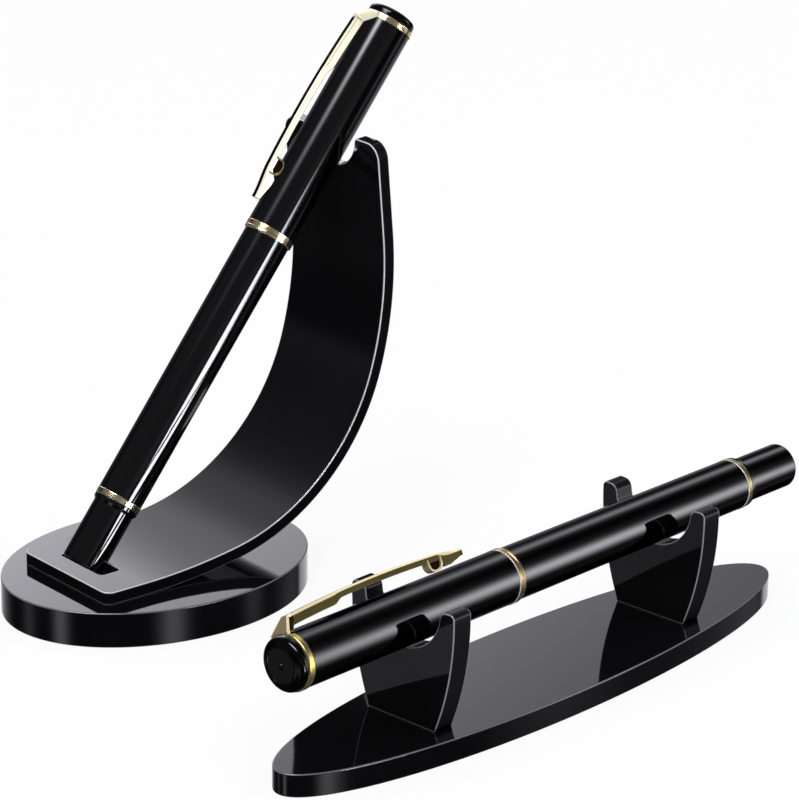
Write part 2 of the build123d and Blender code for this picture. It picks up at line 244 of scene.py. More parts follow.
def plate(outline, thickness, holes=(), extra=None, edge=SHEET_EDGE, steps=5):
    """Sheet from n = 0 down to n = -thickness with round edges. Each wall is the outline moved in by
    edge times one minus the cosine of the rim angle, and the faces are triangles of the inset lines.
    A point's painted highlight is 1 on the upper round edge and 0.4 on the lower one, and its
    dull mark is 1 on the wall, which the acrylic makes matt."""
    outline = anticlockwise(outline)
    rim = np.linspace(0, math.pi / 2, steps)
    inset = edge * np.concatenate([1 - np.sin(rim), 1 - np.sin(rim[::-1])])
    level = np.concatenate([-edge * (1 - np.cos(rim)), -thickness + edge * (1 - np.cos(rim[::-1]))])
    tilt = np.concatenate([math.pi / 2 - rim, rim[::-1] - math.pi / 2])
    edge_highlight = np.concatenate([np.sin(2 * rim) > 0.1, 0.4 * (np.sin(2 * rim) > 0.1)])
    points, normals, faces, loops, shine, dull = [], [], [], [], [], []
    count = 0
    for line, side in [(outline, 1)] + [(hole, -1) for hole in holes]:
        out = outline_normals(line) * side
        moved = line[None] - out[None] * inset[:, None, None]
        rows = np.concatenate([moved, np.broadcast_to(level[:, None, None], moved.shape[:2] + (1,))], axis=2)
        flat = np.cos(tilt)[:, None, None] * out[None]
        lift = np.broadcast_to(np.sin(tilt)[:, None, None], flat.shape[:2] + (1,))
        points.append(rows.reshape(-1, 3))
        normals.append(np.concatenate([flat, lift], axis=2).reshape(-1, 3))
        shine.append(np.repeat(edge_highlight, len(line)))
        dull.append(np.repeat(abs(tilt) < 0.01, len(line)))
        quads = grid_faces(len(inset), len(line), wrap_columns=True)
        faces.append(quads[:, ::-side] + count)
        loops.append((count, len(line), moved[0]))
        count += rows.shape[0] * rows.shape[1]
    fixed = np.vstack([loop[2] for loop in loops] + ([extra] if extra is not None else []))
    edges, start = [], 0
    for _, length, _ in loops:
        ring = np.arange(length) + start
        edges += np.stack([ring, np.roll(ring, -1)], axis=1).tolist()
        start += length
    filled = delaunay_2d_cdt([Vector(p) for p in fixed.tolist()], edges, [], 1, 1e-7)
    source = np.array([origin[0] for origin in filled[3]])
    triangles = source[np.array(filled[2])]
    centre = fixed[triangles].mean(axis=1)
    kept = inside(centre, loops[0][2])
    for loop in loops[1:]:
        kept &= ~inside(centre, loop[2])
    triangles = triangles[kept]
    corner = fixed[triangles]
    one, two = corner[:, 1] - corner[:, 0], corner[:, 2] - corner[:, 0]
    turned = one[:, 0] * two[:, 1] - one[:, 1] * two[:, 0] < 0
    triangles[turned] = triangles[turned][:, ::-1]
    last_row = len(inset) - 1
    for row, up in ((0, 1), (last_row, -1)):
        number = np.concatenate([np.arange(length) + first + row * length for first, length, _ in loops])
        if extra is not None:
            number = np.concatenate([number, np.arange(len(extra)) + count])
            points.append(np.column_stack([extra, np.full(len(extra), level[row])]))
            normals.append(np.tile([0.0, 0.0, float(up)], (len(extra), 1)))
            shine.append(np.zeros(len(extra)))
            dull.append(np.zeros(len(extra)))
            count += len(extra)
        faces.append(number[triangles][:, ::up])
    quads = [f for f in faces if f.shape[1] == 4]
    faces = [np.vstack(quads)] + [f for f in faces if f.shape[1] == 3]
    return np.vstack(points), np.vstack(normals), faces, np.concatenate(shine), np.concatenate(dull)


class Term:
    """A number on a shader socket. Arithmetic on it adds Math nodes."""

    def __init__(self, tree, socket):
        self.tree, self.socket = tree, socket

    def math(self, operation, *others):
        inputs = {0: self.socket}
        inputs.update({i + 1: getattr(o, "socket", o) for i, o in enumerate(others)})
        return self.tree.term("ShaderNodeMath", {"operation": operation}, inputs)

    def __add__(self, other):
        return self.math("ADD", other)

    def __sub__(self, other):
        return self.math("SUBTRACT", other)

    def __mul__(self, other):
        return self.math("MULTIPLY", other)

    def __truediv__(self, other):
        return self.math("DIVIDE", other)

    def __rsub__(self, other):
        return self.math("MULTIPLY", -1.0).math("ADD", other)

    __radd__ = __add__
    __rmul__ = __mul__

    def rise(self, low, high):
        """0 below low, 1 above high, smooth between."""
        ends = {"Value": self.socket, "From Min": low, "From Max": high}
        return self.tree.term("ShaderNodeMapRange", {"interpolation_type": "SMOOTHSTEP"}, ends)


class Tree:
    """Node tree of a material or a world, empty at first."""

    def __init__(self, owner):
        owner.use_nodes = True
        self.nodes, self.links = owner.node_tree.nodes, owner.node_tree.links
        self.nodes.clear()

    def add(self, kind, settings=None, inputs=None):
        """A node of a type, with its settings first and then the values or links of its sockets."""
        node = self.nodes.new(kind)
        for name, value in (settings or {}).items():
            setattr(node, name, value)
        for name, value in (inputs or {}).items():
            value = getattr(value, "socket", value)
            if isinstance(value, bpy.types.NodeSocket):
                self.links.new(value, node.inputs[name])
            else:
                node.inputs[name].default_value = value
        return node

    def term(self, kind, settings=None, inputs=None, output=0):
        return Term(self, self.add(kind, settings, inputs).outputs[output])

    def noise(self, scale, detail=3.0):
        place = self.add("ShaderNodeTexCoord").outputs["Object"]
        return self.term("ShaderNodeTexNoise", None, {"Vector": place, "Scale": scale, "Detail": detail})

    def mark(self, name):
        """One of the numbers that the piece keeps for each point."""
        return self.term("ShaderNodeAttribute", {"attribute_name": name}, None, 2)

    def blend(self, mask, low, high):
        """Colour between low and high by a mask."""
        return self.term("ShaderNodeMix", {"data_type": "RGBA"}, {"Factor": mask, 6: low, 7: high}, 2)


def finish(name, low, high, roughness, spread, bump, scale, rim=None, rim_roughness=0.0, face=None,
           matt=None, soft_edge=0.0, **constants):
    """Principled material: colour, roughness and bump follow two layers of noise on the piece. Rim is
    the painted highlight colour where the piece's shine mark is 1, and face the painted
    shade colour where its dull mark is 1. Matt is a colour and its share in the
    surface: everywhere, where the dull mark is 1, and added where the
    shine mark is 1. A soft edge takes part of the gloss off where the surface turns away,
    up to its very edge."""
    material = bpy.data.materials.new(name)
    tree = Tree(material)
    broad = tree.noise(scale)
    fine = tree.noise(scale * 14, detail=2.0)
    mask = broad.rise(0.3, 0.7)
    rough = (broad * 0.7 + fine * 0.3 - 0.5) * spread + roughness
    relief = tree.add("ShaderNodeBump", None, {"Height": fine, "Strength": bump, "Distance": 0.0001})
    colour = tree.blend(mask, low, high)
    shine, dull = tree.mark("shine"), tree.mark("dull")
    if rim:
        colour = tree.blend(shine, colour, rim)
        rough = rough + shine * rim_roughness
    if face:
        colour = tree.blend(dull, colour, face)
    inputs = {"Base Color": colour, "Roughness": rough, "Normal": relief.outputs["Normal"]}
    inputs.update({key.replace("_", " "): value for key, value in constants.items()})
    surface = tree.add("ShaderNodeBsdfPrincipled", None, inputs).outputs["BSDF"]
    if soft_edge:
        facing = tree.term("ShaderNodeLayerWeight", None, {"Blend": 0.5}, 1)
        share = facing.rise(0.49, 0.62) * (1 - facing.rise(0.72, 0.80)) * soft_edge
        matt = (low,)
    elif matt:
        share = dull * (matt[2] - matt[1]) + shine * matt[3] + matt[1]
    if matt:
        even = tree.add("ShaderNodeBsdfDiffuse", None, {"Color": matt[0]}).outputs["BSDF"]
        surface = tree.add("ShaderNodeMixShader", None, {0: share, 1: surface, 2: even}).outputs[0]
    tree.add("ShaderNodeOutputMaterial", None, {"Surface": surface})
    return material


# Black acrylic: the rim colour is a painted highlight on the sheets' round edges, and the walls are matt.
black_acrylic = finish("black_acrylic", (0.0018, 0.0018, 0.0021, 1), (0.0030, 0.0030, 0.0034, 1),
                       0.035, 0.02, 0.02, 45.0, (0.62, 0.62, 0.65, 1), 0.3,
                       matt=((0.011, 0.011, 0.012, 1), 0.0, 0.8, 0.0), IOR=1.49)
black_lacquer = finish("black_lacquer", (0.0005, 0.0005, 0.0006, 1), (0.0010, 0.0010, 0.0011, 1),
                       0.05, 0.02, 0.01, 60.0, IOR=1.50)
deep_lacquer = finish("deep_lacquer", (0.0004, 0.0004, 0.0005, 1), (0.0008, 0.0008, 0.0009, 1),
                      0.05, 0.02, 0.01, 60.0, soft_edge=0.95, IOR=1.50)
dull_lacquer = finish("dull_lacquer", (0.0005, 0.0005, 0.0006, 1), (0.0010, 0.0010, 0.0011, 1),
                      0.09, 0.03, 0.02, 90.0, IOR=1.50, Specular_IOR_Level=0.18)
black_plastic = finish("black_plastic", (0.006, 0.006, 0.006, 1), (0.009, 0.009, 0.009, 1),
                       0.16, 0.08, 0.05, 120.0, IOR=1.46)
liner_plastic = finish("liner_plastic", (0.05, 0.05, 0.05, 1), (0.07, 0.07, 0.07, 1),
                       0.5, 0.1, 0.1, 150.0)
# Leaning pen's clip gold: face is painted shade, a dark olive on the clip's outer face and in thin lines along
# its edges; a pale matt layer elsewhere.
bright_gold = finish("bright_gold", (0.86, 0.78, 0.58, 1), (0.92, 0.84, 0.64, 1),
                     0.16, 0.04, 0.01, 220.0, face=(0.045, 0.036, 0.014, 1),
                     matt=((0.95, 0.89, 0.66, 1), 0.8, 0.0, 0.0), Metallic=1.0)
pale_gold = finish("pale_gold", (0.90, 0.72, 0.42, 1), (0.95, 0.78, 0.48, 1),
                   0.15, 0.06, 0.04, 220.0, Metallic=1.0)
# Lying pen's ring gold: rim is a painted highlight, which the top ring takes in part, and the matt colour a
# painted pale highlight along the rings' upper edges.
deep_gold = finish("deep_gold", (0.25, 0.19, 0.075, 1), (0.31, 0.24, 0.10, 1),
                   0.30, 0.06, 0.04, 220.0, (0.85, 0.70, 0.14, 1),
                   matt=((0.75, 0.68, 0.60, 1), 0.05, 0.7, 0.0), Metallic=1.0)
# Lying pen's clip gold: the dark olive colour is painted shade on the clip's sides and face, the rim colour and
# matt share a painted highlight on the slants and the loop, and the matt a pale painted sheen on the root's
# face.
painted_shade_gold = finish("painted_shade_gold", (0.050, 0.040, 0.014, 1), (0.070, 0.056, 0.020, 1),
                    0.19, 0.05, 0.02, 220.0, (0.90, 0.74, 0.42, 1),
                    matt=((0.95, 0.80, 0.44, 1), 0.0, 0.2, 0.75), Metallic=1.0)
# Painted shade: a dark brown without reflection for the hollow inside the clip's loop.
painted_shade_core_gold = finish("painted_shade_core_gold", (0.012, 0.005, 0.003, 1), (0.016, 0.007, 0.004, 1),
                     0.35, 0.1, 0.05, 300.0, Specular_IOR_Level=0.0)
pale_steel = finish("pale_steel", (0.55, 0.55, 0.56, 1), (0.62, 0.62, 0.63, 1),
                    0.25, 0.08, 0.08, 300.0, Metallic=1.0)

turn = math.radians(UPRIGHT_TURN)
UPRIGHT = axes((UPRIGHT_X, UPRIGHT_Y, 0), (math.cos(turn), math.sin(turn), 0), (0, 0, 1))
LYING = axes((0, 0, 0), (1, 0, 0), (0, 0, 1))


def oval(size):
    """Ellipse: x = half length times cos angle, y = half width times sin angle."""
    angle = np.linspace(0, 2 * math.pi, 320, endpoint=False)
    return np.stack([size[0] / 2 * np.cos(angle), size[1] / 2 * np.sin(angle)], axis=1)


def add_oval_base(name, size, place):
    points, normals, faces, shine, _ = plate(oval(size), size[2])
    points[:, 2] += size[2]
    # The bases keep a fifth of the sheets' painted edge highlight.
    make_piece(name + "_slab", points, faces, place, black_acrylic, "stands", "black_acrylic",
               (name,), normals, shine=shine * 0.2)


def circle_through(one, two, three):
    """Centre and radius of the circle through three points, from its two chords' equations."""
    rows = np.array([two - one, three - one]) * 2
    right = [two @ two - one @ one, three @ three - one @ one]
    centre = np.linalg.solve(rows, right)
    return centre, np.linalg.norm(one - centre)


def arc_points(centre, radius, start, end, count):
    angle = np.linspace(start, end, count)
    return np.stack([centre[0] + radius * np.cos(angle), centre[1] + radius * np.sin(angle)], axis=1)


def with_radius(points, radius=0.0):
    return np.column_stack([points, np.full(len(points), radius)])


def add_cradle(name):
    """Plate in the YZ plane: side arcs through foot, waist and top, horns, and a round notch."""
    foot = np.array([CRADLE_FOOT / 2, 0.0])
    waist = np.array([CRADLE_WAIST / 2, CRADLE_HEIGHT * WAIST_SHARE])
    top = np.array([CRADLE_TOP / 2, CRADLE_HEIGHT])
    centre, radius = circle_through(foot, waist, top)
    low = math.atan2(foot[1] - centre[1], foot[0] - centre[0])
    high = math.atan2(top[1] - centre[1], top[0] - centre[0])
    side = arc_points(centre, radius, low, high, 24)[1:-1]
    middle = np.array([0.0, CRADLE_HEIGHT - CRADLE_NOTCH_DEPTH + CRADLE_NOTCH_RADIUS])
    lip = math.acos((CRADLE_HEIGHT - middle[1]) / CRADLE_NOTCH_RADIUS) - math.pi / 2
    notch = arc_points(middle, CRADLE_NOTCH_RADIUS, lip, -math.pi - lip, 60)
    mirror = np.array([-1.0, 1.0])
    corners = np.vstack([with_radius([foot]), with_radius(side[:-1]), with_radius([top], HORN_OUTER),
                         with_radius(notch[:1], HORN_INNER), with_radius(notch[5:-5]),
                         with_radius(notch[-1:], HORN_INNER), with_radius([top * mirror], HORN_OUTER),
                         with_radius(side[-2::-1] * mirror), with_radius([foot * mirror])])
    points, normals, faces, shine, dull = plate(soften(corners), CRADLE_THICKNESS)
    points[:, 2] += CRADLE_THICKNESS / 2
    place = axes((CRADLE_X[name], 0, LYING_BASE[2]), (0, 1, 0), (1, 0, 0))
    make_piece(name + "_plate", points, faces, place, black_acrylic, "stands", "black_acrylic",
               (name,), normals, shine=shine, dull=dull)


def arm_line():
    """Length, x, z and heading along the sheet's inner face: a flat foot, three arcs, a straight tip."""
    heading, x, z = [0.0, 0.0], [-ARM_FRONT, ARM_FLAT - ARM_FRONT], [0.0, 0.0]
    z = [UPRIGHT_BASE[2] + ARM_THICKNESS] * 2
    for radius, degrees in ARM_ARCS:
        angle = heading[-1] + np.linspace(0, math.radians(degrees), 60)[1:]
        centre_x = x[-1] - radius * math.sin(heading[-1])
        centre_z = z[-1] + radius * math.cos(heading[-1])
        x += (centre_x + radius * np.sin(angle)).tolist()
        z += (centre_z - radius * np.cos(angle)).tolist()
        heading += angle.tolist()
    run = (ARM_HEIGHT - z[-1]) / math.sin(heading[-1])
    x.append(x[-1] + run * math.cos(heading[-1]))
    z.append(ARM_HEIGHT)
    heading.append(heading[-1])
    x, z, heading = np.array(x), np.array(z), np.array(heading)
    length = np.concatenate([[0], np.cumsum(np.hypot(np.diff(x), np.diff(z)))])
    return length, x, z, heading


def add_arm():
    """Sheet outlined flat in (length, across) and then bent: a point is the line's point at its length
    plus its depth times the line's normal."""
    length, x, z, heading = arm_line()
    total = length[-1]

    def half_width(at):
        return (ARM_FOOT_WIDTH + (ARM_TIP_WIDTH - ARM_FOOT_WIDTH) * np.interp(at, length, z) / ARM_HEIGHT) / 2

    along = np.linspace(6, total - 7, 90)
    side = np.stack([along, -half_width(along)], axis=1)
    centre = np.array([total - NOTCH_DEPTH + NOTCH_RADIUS, 0.0])
    lip = math.acos((total - centre[0]) / NOTCH_RADIUS)
    notch = arc_points(centre, NOTCH_RADIUS, -lip, lip - 2 * math.pi, 60)
    mirror = np.array([1.0, -1.0])
    foot = np.array([[0.0, -half_width(0.0)]])
    tip = np.array([[total, -half_width(total)]])
    corners = np.vstack([with_radius(foot, ARM_FOOT_CORNER), with_radius(side),
                         with_radius(tip, ARM_TIP_CORNER), with_radius(notch[:1], NOTCH_LIP),
                         with_radius(notch[4:-4]), with_radius(notch[-1:], NOTCH_LIP),
                         with_radius(tip * mirror, ARM_TIP_CORNER), with_radius(side[::-1] * mirror),
                         with_radius(foot * mirror, ARM_FOOT_CORNER)])
    near, far = SLOT_MARGIN, SLOT_MARGIN + SLOT_LENGTH
    low, high = SLOT_SHIFT - SLOT_WIDTH / 2, SLOT_SHIFT + SLOT_WIDTH / 2
    slot = soften([(near, low, SLOT_CORNER), (far, low, SLOT_CORNER), (far, high, SLOT_CORNER),
                   (near, high, SLOT_CORNER)])
    rows, columns = np.meshgrid(np.linspace(1.5, total - 1.5, 130), np.linspace(-1, 1, 13), indexing="ij")
    extra = np.stack([rows.ravel(), (columns * (half_width(rows) - 1.2)).ravel()], axis=1)
    off_slot = (abs(extra[:, 0] - (near + far) / 2) > SLOT_LENGTH / 2 + 0.8) | \
        (abs(extra[:, 1] - SLOT_SHIFT) > SLOT_WIDTH / 2 + 0.8)
    off_notch = np.linalg.norm(extra - centre, axis=1) > NOTCH_RADIUS + 0.8
    off_tip = (total - extra[:, 0] > ARM_TIP_CORNER) | (abs(extra[:, 1]) < half_width(total) - ARM_TIP_CORNER)
    extra = extra[off_slot & off_notch & off_tip]
    points, normals, faces, shine, _ = plate(soften(corners, steps=10), ARM_THICKNESS, [slot], extra)
    at, depth = points[:, 0], points[:, 2]
    slope = np.interp(at, length, heading)
    cos, sin = np.cos(slope), np.sin(slope)
    bent = np.stack([np.interp(at, length, x) - depth * sin, points[:, 1],
                     np.interp(at, length, z) + depth * cos], axis=1)
    tilted = np.stack([normals[:, 0] * cos - normals[:, 2] * sin, normals[:, 1],
                       normals[:, 0] * sin + normals[:, 2] * cos], axis=1)
    make_piece("upright_arm_sheet", bent, faces, UPRIGHT, black_acrylic, "stands", "black_acrylic",
               ("upright_arm",), tilted, shine=shine)
    return x[-1], z[-1], heading[-1]


def strip_section(face):
    """Section as (width, depth) shares: an outer face of the given width, short slants and straight
    sides."""
    return soften([(-face, 0.0, 0.05), (-1.0, 0.17, 0.06), (-1.0, 0.27, 0), (-1.0, 0.88, 0),
                   (-1.0, 1.0, 0.06), (1.0, 1.0, 0.06), (1.0, 0.88, 0), (1.0, 0.27, 0),
                   (1.0, 0.17, 0.06), (face, 0.0, 0.05)], steps=4)


def path_across(path):
    """Unit vectors square to a path in the XZ plane, on its right."""
    step = unit(np.gradient(path, axis=0))
    return np.stack([step[:, 1], -step[:, 0]], axis=1)


def step_share(value, low, high):
    share = np.clip((value - low) / (high - low), 0, 1)
    return share * share * (3 - 2 * share)


def add_clip(pen, place, radius, top, length, gold, loop_dullness):
    """Clip: a sloping root on the cap's ring, an arched strip with a deep and a thin stretch, a pressed
    loop and a deep end that bends in. The strip's rise is a parabola of its share of the way."""
    high = radius + ELBOW_HEIGHT
    rim = radius + CLIP_RING_RIM
    section = strip_section(0.7)
    root = soften([(rim - 0.9, top + CLIP_RING_HEIGHT - 0.1, 0), (rim, top + CLIP_RING_HEIGHT - 0.12, 0.2),
                   (high, top - ROOT_DROP + 0.75, 0.7), (high, top - ROOT_DROP, 0)], closed=False, steps=8)
    reach = np.clip((root[:, 0] - rim) / ELBOW_HEIGHT, 0, 1)
    width = ROOT_WIDTH + (CLIP_WIDTH - ROOT_WIDTH) * reach
    depth = CLIP_RING_HEIGHT * 0.9 + (CLIP_DEPTH - CLIP_RING_HEIGHT * 0.9) * step_share(reach, 0.6, 1.0)
    points, faces, shine, dull = loft(root, path_across(root), width, depth, strip_section(0.8))
    # The root's face takes the rest of the painted face tone: a pale painted sheen on the lying pen.
    make_piece(pen + "_clip_root", points, faces, place, gold, pen + "_cap", "gold_trim", shine=shine,
               dull=dull * (1 - loop_dullness))

    start = top - ROOT_DROP - CLIP_SPLIT
    end = start - length
    run = length - END_LENGTH
    way = np.linspace(0, run, 70)
    share = way / run
    rise = ELBOW_HEIGHT + (NECK_HEIGHT - ELBOW_HEIGHT) * share + 4 * CLIP_BOW * share * (1 - share)
    path = np.stack([radius + rise, start - way], axis=1)
    thin = step_share(way, WIDE_LENGTH, WIDE_LENGTH + SHOULDER_LENGTH)
    depth = CLIP_DEPTH + (STRIP_DEPTH - CLIP_DEPTH) * thin
    left = np.linspace(END_LENGTH, 0, 34)[1:]
    bend = step_share(left, END_LENGTH, 0)
    outer = NECK_HEIGHT + (TIP_HEIGHT - NECK_HEIGHT) * bend
    inner = np.interp(left, [0, 0.8, END_BELLY - 0.6, END_BELLY + 0.6, END_START, END_LENGTH],
                      [TIP_HEIGHT - TIP_DEPTH, TIP_HEIGHT - TIP_DEPTH - 0.1, END_GAP, END_GAP,
                       NECK_HEIGHT - STRIP_DEPTH, NECK_HEIGHT - STRIP_DEPTH])
    path = np.vstack([path, np.stack([radius + outer, end + left], axis=1)])
    depth = np.concatenate([depth, outer - inner])
    points, faces, shine, dull = loft(path, path_across(path), np.full(len(path), CLIP_WIDTH), depth, section)
    body = pen + "_clip"
    # The strip takes its share of the painted face tone: painted shade on the leaning pen's clip.
    make_piece(pen + "_clip_strip", points, faces, place, gold, body, "gold_trim", (pen + "_clip_arm",),
               shine=shine, dull=dull * loop_dullness)

    low = radius + REST_GAP
    middle = end + BALL_PLACE
    mouth = radius + NECK_HEIGHT - STRIP_DEPTH / 2
    half = BALL_RADIUS + 0.4
    loop = soften([(mouth, middle + half, 0), (low, middle + half - 0.1, 1.5),
                   (low, middle - half + 0.1, 1.5), (mouth, middle - half, 0)],
                  closed=False, steps=12)
    band = soften([(-1, 0, 0.12), (-1, 1, 0.12), (1, 1, 0.12), (1, 0, 0.12)], steps=3)
    across = -path_across(loop)
    points, faces, shine, _ = loft(loop, across, np.full(len(loop), 1.9), np.full(len(loop), 0.4), band)
    # The loop takes half the painted highlight and the strip's share of the painted face tone.
    make_piece(pen + "_clip_loop", points, faces, place, gold, body, "gold_trim",
               shine=np.full(len(shine), 0.5), dull=np.full(len(shine), loop_dullness))
    # The core is a recessed disc in painted shade.
    core_line = loop + across * 0.3
    core, normals, faces, *_ = plate(core_line[:, ::-1], 1.0, edge=0.1)
    core = core[:, [1, 2, 0]] + [0, 0.5, 0]
    make_piece(pen + "_clip_core", core, faces, place, painted_shade_core_gold, body, "gold_trim",
               normals=normals[:, [1, 2, 0]])


def add_turned(name, corners, place, material, body, slot, node, closed=False, dull_from=math.inf,
               shine=0.0):
    """Turned piece. Its dull mark is 1 above a height along the pen, where the lying
    pen's gold paints a pale highlight edge, and its painted highlight is the same share all over.
    """
    points, faces = lathe(soften(corners, closed=closed), closed)
    make_piece(name, points, faces, place, material, body, slot, (node,), dull=points[:, 2] > dull_from,
               shine=np.full(len(points), shine))


def add_pen(pen, place, cap, barrel, tail, clip_length, lacquer, gold, clip_gold, loop_dullness):
    """One pen along its own Z, from the tail end at 0 to the finial, with the clip towards its X."""
    cap_length, cap_diameter = cap
    barrel_length, top_diameter, end_diameter = barrel
    radius, top_radius, end_radius = cap_diameter / 2, top_diameter / 2, end_diameter / 2
    tail_length, tail_radius = tail[0], tail[1] / 2
    cap_bore, bore = radius - CAP_WALL, end_radius - BARREL_WALL
    ring_top = tail_length + BARREL_RING_HEIGHT
    lip = ring_top + barrel_length
    top = lip + cap_length
    cap_body = pen + "_cap"
    e = FINE_EDGE

    recess = radius - BAND_DEPTH
    add_turned(pen + "_cap_shell", [
        (cap_bore, lip, e), (recess, lip, 0.02), (recess, lip + BAND_HEIGHT, 0.02),
        (radius, lip + BAND_HEIGHT, 0.05), (radius, top, 0.1), (STUD_RADIUS + SEAT_GAP, top, 0.05),
        (STUD_RADIUS + SEAT_GAP, top - CAP_END_WALL, 0.05), (cap_bore, top - CAP_END_WALL, 0.3)],
        place, lacquer, cap_body, "black_lacquer", pen + "_cap_tube", closed=True)
    rim = radius + BAND_RIM
    third = BAND_HEIGHT * 0.3
    # The band's upper edge takes the painted pale highlight edge.
    add_turned(pen + "_lip_band", [
        (recess + SEAT_GAP, lip, 0.03), (rim, lip, e), (rim, lip + third, 0.04),
        (rim - 0.09, lip + third + 0.1, 0.04), (rim, lip + third + 0.2, 0.04),
        (rim, lip + BAND_HEIGHT - 0.3, 0), (rim, lip + BAND_HEIGHT, e),
        (recess + SEAT_GAP, lip + BAND_HEIGHT, 0.03)],
        place, gold, cap_body, "gold_trim", pen + "_cap_band", True, lip + BAND_HEIGHT - 0.25)

    # The top ring takes 0.6 of the painted highlight colour all over.
    ring_rim = radius + CLIP_RING_RIM
    add_turned(pen + "_top_ring", [
        (STUD_RADIUS + SEAT_GAP, top, 0.03), (ring_rim, top, 0.15), (ring_rim, top + CLIP_RING_HEIGHT, 0.2),
        (STUD_RADIUS + SEAT_GAP, top + CLIP_RING_HEIGHT, 0.03)],
        place, gold, cap_body, "gold_trim", pen + "_clip_ring", closed=True, shine=0.6)
    low = top + CLIP_RING_HEIGHT
    peak = low + FINIAL_HEIGHT
    head = radius - FINIAL_INSET
    dish = head * 0.66
    add_turned(pen + "_finial_button", [
        (0, low, 0), (head - 0.15, low, 0.05), (head, low + 0.2, 0.1), (head, peak - 0.55, FINIAL_ROUND),
        (dish + 0.25, peak - 0.05, 0.15), (dish + 0.1, peak - 0.22, 0.1), (dish - 0.12, peak - 0.02, 0.12),
        (NUB_RADIUS + 0.15, peak, 0.1), (NUB_RADIUS, peak + NUB_HEIGHT * 0.7, 0.12),
        (NUB_RADIUS * 0.4, peak + NUB_HEIGHT, 0.1), (0, peak + NUB_HEIGHT, 0)],
        place, dull_lacquer, cap_body, "black_lacquer", pen + "_finial")
    add_clip(pen, place, radius, top, clip_length, clip_gold, loop_dullness)

    spigot = cap_bore - SLIDE_GAP
    add_turned(pen + "_barrel_shell", [
        (bore, ring_top, 0.05), (end_radius, ring_top, 0.08), (top_radius, lip, 0.1), (spigot, lip, 0.03),
        (spigot, lip + SPIGOT_LENGTH, 0.15), (bore, lip + SPIGOT_LENGTH, 0.1)],
        place, lacquer, pen, "black_lacquer", pen + "_barrel", closed=True)
    ring_rim = end_radius + BARREL_RING_RIM
    # The tail ring's upper edge takes the painted pale highlight edge.
    add_turned(pen + "_tail_ring", [
        (bore - SEAT_GAP, tail_length, 0.02), (ring_rim, tail_length, 0.15), (ring_rim, ring_top - 0.3, 0),
        (ring_rim, ring_top, 0.15), (bore - SEAT_GAP, ring_top, 0.02)],
        place, gold, pen, "gold_trim", pen + "_barrel_ring", True, ring_top - 0.25)
    collar = tail_length - TAIL_COLLAR
    add_turned(pen + "_tail_piece", [
        (0, 0, 0), (tail_radius, 0, TAIL_ROUND), (tail_radius, collar - TAIL_STEP, 0.1),
        (end_radius, collar, 0.1), (end_radius, tail_length, 0.1), (bore - SEAT_GAP, tail_length, 0.02),
        (bore - SEAT_GAP, ring_top + TAIL_SPIGOT, 0.1), (0, ring_top + TAIL_SPIGOT, 0)],
        place, lacquer, pen, "black_lacquer", pen + "_tail_cap")

    spigot_top = lip + SPIGOT_LENGTH
    grip_top = spigot_top + GRIP_LENGTH
    nose_top = grip_top + NOSE_LENGTH
    tip_bore = TIP_RADIUS + SEAT_GAP
    add_turned(pen + "_grip_shell", [
        (REFILL_RADIUS + SEAT_GAP, spigot_top - 7, 0.02), (bore - 0.5, spigot_top - 7, 0.02),
        (bore - 0.5, spigot_top, 0.02), (GRIP_ROOT, spigot_top, 0.15), (GRIP_FRONT, grip_top, 1.5),
        (NOSE_RADIUS, nose_top, 0.3), (tip_bore, nose_top, 0.05), (tip_bore, grip_top, 0.05),
        (REFILL_RADIUS + SEAT_GAP, grip_top - NOSE_LENGTH, 0.05)],
        place, black_plastic, pen, "black_plastic", pen + "_grip_section", closed=True)
    add_turned(pen + "_writing_point", [
        (0, nose_top - 0.7, 0), (TIP_RADIUS, nose_top - 0.7, 0.02), (TIP_RADIUS, nose_top, 0.05),
        (POINT_RADIUS, nose_top + TIP_BARE, 0.2), (0, nose_top + TIP_BARE, 0)],
        place, pale_steel, pen, "refill_metal", pen + "_refill_tip")
    for node, material in (("thread_sleeve", gold), ("inner_cap", liner_plastic), ("refill", pale_steel)):
        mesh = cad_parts[pen + "_" + node].data
        mesh.materials.clear()
        mesh.materials.append(material)


def upright_pen_place(tip_x, heading):
    """The leaning pen's frame: it lies in the notch and against the back edge of the slot."""
    slot_back = SLOT_MARGIN - ARM_FRONT + SLOT_LENGTH
    sheet_top = UPRIGHT_BASE[2] + ARM_THICKNESS
    notch_z = ARM_HEIGHT - NOTCH_DEPTH
    notch_x = tip_x - NOTCH_DEPTH / math.tan(heading)
    cap_reach = UPRIGHT_CAP[1] / 2 + BAND_RIM + REST_GAP
    tail_reach = UPRIGHT_TAIL[1] / 2 + REST_GAP
    span = math.hypot(notch_x - slot_back, notch_z - sheet_top)
    lean = math.atan2(notch_z - sheet_top, notch_x - slot_back) + math.asin((cap_reach - tail_reach) / span)
    cos, sin = math.cos(lean), math.sin(lean)
    axis_x, axis_z = notch_x - cap_reach * sin, notch_z + cap_reach * cos
    run = (slot_back - SLOT_LENGTH - axis_x) * cos + (sheet_top - axis_z) * sin + REST_GAP
    origin = np.array([axis_x + run * cos, 0, axis_z + run * sin]) @ UPRIGHT[1] + UPRIGHT[0]
    swing = math.radians(UPRIGHT_CLIP_TURN)
    towards_clip = np.array([-sin * math.cos(swing), -math.sin(swing), cos * math.cos(swing)])
    return axes(origin, towards_clip @ UPRIGHT[1], np.array([cos, 0, sin]) @ UPRIGHT[1])


